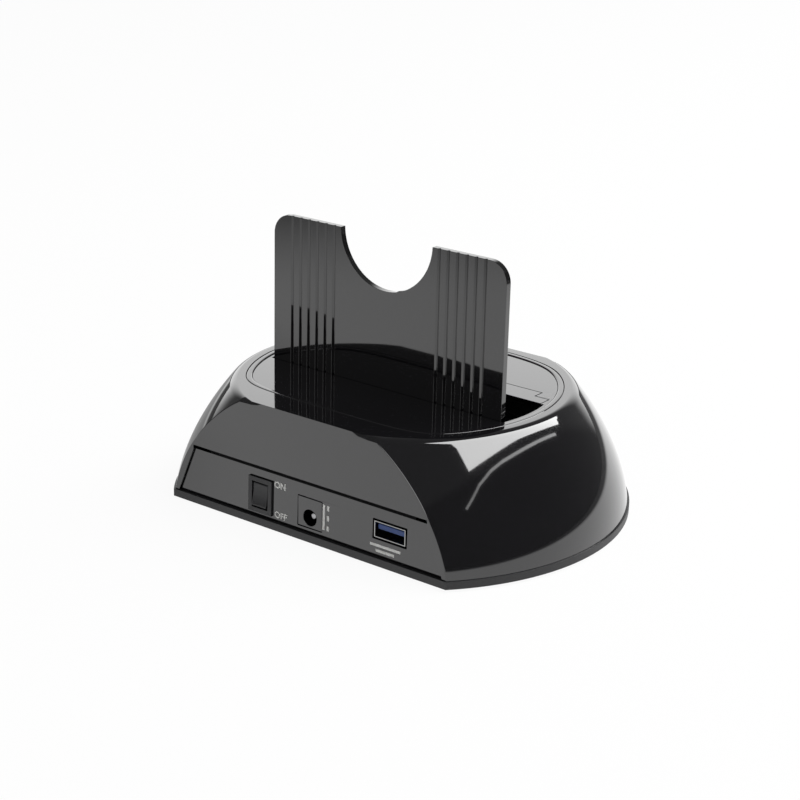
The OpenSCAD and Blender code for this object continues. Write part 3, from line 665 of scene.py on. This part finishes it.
def makeDeck():
    low, top = (corner.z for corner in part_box("deck_insert"))
    hole = mouthOutline()
    edge = deckOutline(0)
    step = deckOutline(deck["flange"])
    loops = [(hole, low), (hole, top), (edge, top), (edge, ceilingZ), (step, ceilingZ), (step, low)]
    black = finishes["gloss_black"]
    piece = addPiece("deck_top", loftOutlines(loops), black, "housing", "deck_insert")
    roundEdges(piece, deck["edgeRound"], rounding["segments"], "ANGLE")
    inner = deckOutline(deck["gap"])
    outer = deckOutline(deck["ringWidth"])
    loops = [(inner, ceilingZ), (inner, rimZ), (outer, rimZ), (outer, ceilingZ)]
    piece = addPiece("deck_ring", loftOutlines(loops), black, "housing", "rim_ring")
    roundEdges(piece, deck["ringRound"], rounding["segments"], "ANGLE")


makeDeck()
print("deck and ring made")


# CAD nodes that keep their shape, and how far their edges are rounded, in millimetres
dressing = {
    "support_plate": 0.1,
    "slot_flap": 0.3,
    "rear_panel": 0.2,
    "switch_housing": 0.25,
    "switch_rocker": 0.3,
    "dc_jack_body": 0.2,
    "dc_jack_pin": 0.2,
    "usb_shell": 0.08,
    "usb_tongue": 0.12,
    "usb_contacts": 0.04,
    "bottom_cover": 0.35,
    "drive_well": 0.3,
    "sata_connector": 0.15,
    "sata_contacts": 0.04,
    "main_board": 0.1,
    "led_board": 0.1,
    "bridge_chip": 0.1,
    "flash_chip": 0.1,
    "crystal": 0.4,
    "inductor": 0.4,
    "capacitors": 0.4,
    "led": 0.5,
    "led_lens": 0.15,
    "flap_pin": 0.15,
    "flap_spring": 0.1,
    "rubber_feet": 0.4,
    "case_screws": 0.15,
    "board_screws": 0.15,
    "well_screws": 0.15,
}
cleanUp = {"weld": 0.002 * mm, "flatAngle": 0.5}
slotOf = {part["node"]: part["material_slot"] for part in frame["record"]["subparts"]}


def dressNode(name, width):
    node = nodes[name]
    data = node.data
    if "custom_normal" in data.attributes:
        data.attributes.remove(data.attributes["custom_normal"])
    data.polygons.foreach_set("use_smooth", [True] * len(data.polygons))
    data.materials.clear()
    data.materials.append(finishes[slotOf[name]])
    weld = node.modifiers.new("weldSeams", "WELD")
    weld.merge_threshold = cleanUp["weld"]
    flat = node.modifiers.new("mergeFlats", "DECIMATE")
    flat.decimate_type = "DISSOLVE"
    flat.angle_limit = math.radians(cleanUp["flatAngle"])
    roundEdges(node, width * mm, rounding["segments"], "ANGLE")


for name, width in dressing.items():
    dressNode(name, width)
print("CAD nodes dressed:", len(dressing))


# printed marks on the connector panel, with the x and z of their middle in millimetres
panelPrint = {
    "words": [("ON", -11.9, 17.6), ("OFF", -11.4, 6.4)],
    "wordHeight": 2.3 * mm,
    "capShare": 0.7,                # height of a capital in the font's size
    "wordWeight": 0.09 * mm,
    "thickness": 0.04 * mm,
    "powerPlace": (9.1, 11.4),      # direct current: a long line beside three dashes
    "powerLength": 9.4 * mm,
    "dataPlace": (35.2, 6.9),       # two plain rules under the wide socket
    "dataLength": 13 * mm,
    "dataShort": 7.8 * mm,
    "lineWidth": 0.95 * mm,
}


# moves a flat mesh from its own plane to the panel's
def layOnPanel(bm, x, z):
    lean = Vector((0, math.sin(faceAngle), math.cos(faceAngle)))
    out = Vector((0, -math.cos(faceAngle), math.sin(faceAngle)))
    low = Vector((x * mm, 0, z * mm))
    low.y = shell["panelRecess"] - faceY(low.z)
    for v in bm.verts:
        flat = v.co.copy()
        raised = flat.z + panelPrint["thickness"]
        v.co = low + Vector((flat.x, 0, 0)) + lean * flat.y + out * raised


def addLetters(bm, text, x, z):
    curve = bpy.data.curves.new("letters", "FONT")
    curve.body = text
    curve.size = panelPrint["wordHeight"] / panelPrint["capShare"]
    curve.align_x = "CENTER"
    curve.align_y = "CENTER"
    curve.extrude = panelPrint["thickness"]
    curve.offset = panelPrint["wordWeight"]
    carrier = bpy.data.objects.new("letters", curve)
    word = bmesh.new()
    word.from_mesh(carrier.to_mesh())
    carrier.to_mesh_clear()
    bpy.data.objects.remove(carrier)
    bpy.data.curves.remove(curve)
    addFlat(bm, word, x, z)


def addFlat(bm, flat, x, z):
    layOnPanel(flat, x, z)
    data = bpy.data.meshes.new("flat")
    flat.to_mesh(data)
    flat.free()
    bm.from_mesh(data)
    bpy.data.meshes.remove(data)


# bars given as middle and size in their own plane
def addBars(bm, bars, x, z):
    flat = bmesh.new()
    for middle, size in bars:
        shape = Matrix.Translation((middle[0], middle[1], 0))
        shape = shape @ Matrix.Diagonal((size[0], size[1], 2 * panelPrint["thickness"], 1))
        bmesh.ops.create_cube(flat, size=1, matrix=shape)
    addFlat(bm, flat, x, z)


def makePrint():
    bm = bmesh.new()
    for text, x, z in panelPrint["words"]:
        addLetters(bm, text, x, z)
    line = panelPrint["lineWidth"]
    length = panelPrint["powerLength"]
    dash = length / 5       # three dashes and two gaps
    bars = [((-line, 0), (line, length))]
    bars += [((line, 2 * dash * k), (line, dash)) for k in (-1, 0, 1)]
    addBars(bm, bars, *panelPrint["powerPlace"])
    bars = [((0, line), (panelPrint["dataLength"], line)), ((0, -line), (panelPrint["dataShort"], line))]
    addBars(bm, bars, *panelPrint["dataPlace"])
    piece = addPiece("panel_print", bm, printInk, "housing", None)
    piece.data.polygons.foreach_set("use_smooth", [False] * len(piece.data.polygons))


makePrint()
print("panel printed")


# floor, studio surroundings and lamps
studio = {
    "floorSize": 6.0,
    "floorGlow": 0.94,
    "floorColor": (0.85, 0.85, 0.85, 1),
    "back": (-0.607, 0.794, 0.0),   # level direction away from the camera
    "backReach": (0.74, 0.92),      # where the pale wall behind the dock begins and is full
    "backLight": 1.6,
    "front": (0.15, -0.957, 0.248), # towards the soft light on the connector face
    "frontReach": (0.9, 0.97),
    "frontLight": 3.0,
    "fill": 0.16,
    "dark": 0.1,                    # unlit side of the studio, to the right
    "darkEdge": 0.856,              # its upper edge, as height over distance to the right
    "darkBlur": (-0.04, 0.04),
    "poolReach": (0.28, 0.55),      # where the lit part of the floor, as the gloss mirrors it, fades out
    "poolLow": 0.06,
    "shadePlace": (-0.2, 0.03, 0),  # shaded part of the floor, at the dock's left end
    "shadeReach": (0.08, 0.2),
    "shadeLevel": 0.3,
}
# long softbox up on the right, parallel to the slot, and the strips of light under it
lamps = {
    "softbox": {
        "start": (0.805, -0.18, 1.335), "end": (0.805, 2.5, 1.335), "width": 0.9, "power": 50,
    },
    "longStrip": {
        "start": (1.194, 0.2985, 0.979), "end": (1.194, 1.9, 0.979), "width": 0.028, "power": 0.385,
    },
    "bendUpper": {
        "start": (1.194, 0.09, 0.957), "end": (1.194, 0.2985, 0.979), "width": 0.028, "power": 0.045,
    },
    "bendMiddle": {
        "start": (1.194, -0.12, 0.882), "end": (1.194, 0.09, 0.957), "width": 0.028, "power": 0.04,
    },
    "bendLower": {
        "start": (1.194, -0.3725, 0.69), "end": (1.194, -0.12, 0.882), "width": 0.028, "power": 0.045,
    },
}


# value that runs smoothly from one level to another as a socket passes two limits
def ramp(tree, value, limits, levels):
    node = addNode(tree, "ShaderNodeMapRange", interpolation_type="SMOOTHSTEP")
    link(tree, value, node.inputs["Value"])
    for label, number in zip(("From Min", "From Max", "To Min", "To Max"), limits + levels):
        node.inputs[label].default_value = number
    return node.outputs[0]


def distanceTo(tree, place, point):
    node = addNode(tree, "ShaderNodeVectorMath", operation="DISTANCE")
    link(tree, place, node.inputs[0])
    node.inputs[1].default_value = point
    return node.outputs["Value"]


def makeFloor():
    bm = bmesh.new()
    bmesh.ops.create_grid(bm, x_segments=1, y_segments=1, size=studio["floorSize"] / 2)
    data = bpy.data.meshes.new("floor")
    bm.to_mesh(data)
    bm.free()
    floor = bpy.data.objects.new("floor", data)
    scene.collection.objects.link(floor)
    material = bpy.data.materials.new("pale_floor")
    material.use_nodes = True
    tree = material.node_tree
    tree.nodes.clear()
    out = addNode(tree, "ShaderNodeOutputMaterial")
    paper = addNode(tree, "ShaderNodeBsdfDiffuse")
    paper.inputs["Color"].default_value = studio["floorColor"]
    glow = addNode(tree, "ShaderNodeEmission")
    mixed = addNode(tree, "ShaderNodeMixShader")
    rays = addNode(tree, "ShaderNodeLightPath")
    seen = mathNode(tree, "MAXIMUM", rays.outputs["Is Camera Ray"], rays.outputs["Is Glossy Ray"])
    seen = mathNode(tree, "MAXIMUM", seen, rays.outputs["Is Transmission Ray"])
    link(tree, mathNode(tree, "MULTIPLY", seen, studio["floorGlow"]), mixed.inputs["Fac"])
    geometry = addNode(tree, "ShaderNodeNewGeometry")
    place = geometry.outputs["Position"]
    fromDock = distanceTo(tree, place, (0, 0, 0))
    near = ramp(tree, fromDock, studio["poolReach"], (1.0, studio["poolLow"]))
    fromShade = distanceTo(tree, place, studio["shadePlace"])
    shade = ramp(tree, fromShade, studio["shadeReach"], (studio["shadeLevel"], 1.0))
    pool = mathNode(tree, "MULTIPLY", near, shade)
    link(tree, mathNode(tree, "MAXIMUM", rays.outputs["Is Camera Ray"], pool), glow.inputs["Strength"])
    link(tree, paper.outputs[0], mixed.inputs[1])
    link(tree, glow.outputs[0], mixed.inputs[2])
    # clear from below, so the bottom can be looked at
    clear = addNode(tree, "ShaderNodeBsdfTransparent")
    sided = addNode(tree, "ShaderNodeMixShader")
    link(tree, geometry.outputs["Backfacing"], sided.inputs["Fac"])
    link(tree, mixed.outputs[0], sided.inputs[1])
    link(tree, clear.outputs[0], sided.inputs[2])
    link(tree, sided.outputs[0], out.inputs["Surface"])
    data.materials.append(material)


# how closely a direction points towards another
def towards(tree, way, direction):
    node = addNode(tree, "ShaderNodeVectorMath", operation="DOT_PRODUCT")
    link(tree, way, node.inputs[0])
    node.inputs[1].default_value = direction
    return node.outputs["Value"]


def makeWorld():
    world = bpy.data.worlds.new("studio")
    scene.world = world
    world.use_nodes = True
    tree = world.node_tree
    tree.nodes.clear()
    out = addNode(tree, "ShaderNodeOutputWorld")
    light = addNode(tree, "ShaderNodeBackground")
    way = addNode(tree, "ShaderNodeTexCoord").outputs["Generated"]
    axes = addNode(tree, "ShaderNodeSeparateXYZ")
    link(tree, way, axes.inputs[0])
    back = towards(tree, way, studio["back"])
    wall = ramp(tree, back, studio["backReach"], (studio["fill"], studio["backLight"]))
    front = towards(tree, way, studio["front"])
    soft = ramp(tree, front, studio["frontReach"], (0.0, studio["frontLight"]))
    wall = mathNode(tree, "MAXIMUM", wall, soft)
    edge = mathNode(tree, "MULTIPLY", axes.outputs["X"], studio["darkEdge"])
    under = mathNode(tree, "SUBTRACT", edge, axes.outputs["Z"])
    unlit = ramp(tree, under, studio["darkBlur"], (0.0, 1.0))
    level = addNode(tree, "ShaderNodeMix", data_type="FLOAT")
    link(tree, unlit, level.inputs["Factor"])
    link(tree, wall, level.inputs["A"])
    level.inputs["B"].default_value = studio["dark"]
    rays = addNode(tree, "ShaderNodeLightPath")
    strength = addNode(tree, "ShaderNodeMix", data_type="FLOAT")
    link(tree, rays.outputs["Is Camera Ray"], strength.inputs["Factor"])
    link(tree, level.outputs[0], strength.inputs["A"])
    strength.inputs["B"].default_value = 1.0
    link(tree, strength.outputs[0], light.inputs["Strength"])
    link(tree, light.outputs[0], out.inputs["Surface"])


# flat lamp along a line, turned to the dock
def makeLamp(name, lamp):
    start = Vector(lamp["start"])
    end = Vector(lamp["end"])
    along = (end - start).normalized()
    middle = (start + end) / 2
    out = (start - start.dot(along) * along).normalized()
    data = bpy.data.lights.new(name, "AREA")
    data.shape = "RECTANGLE"
    data.size = lamp["width"]
    data.size_y = (end - start).length
    data.energy = lamp["power"]
    light = bpy.data.objects.new(name, data)
    scene.collection.objects.link(light)
    light.location = middle
    light.rotation_euler = Matrix((along.cross(out), along, out)).transposed().to_euler()
    # the plate's cut edges stay out of the glare
    shaded = bpy.data.collections.new(name + "Shaded")
    shaded.objects.link(nodes["support_plate"])
    light.light_linking.receiver_collection = shaded
    shaded.collection_objects[0].light_linking.link_state = "EXCLUDE"


makeFloor()
makeWorld()
for name, lamp in lamps.items():
    makeLamp(name, lamp)
scene.view_settings.view_transform = "Standard"
print("studio set")
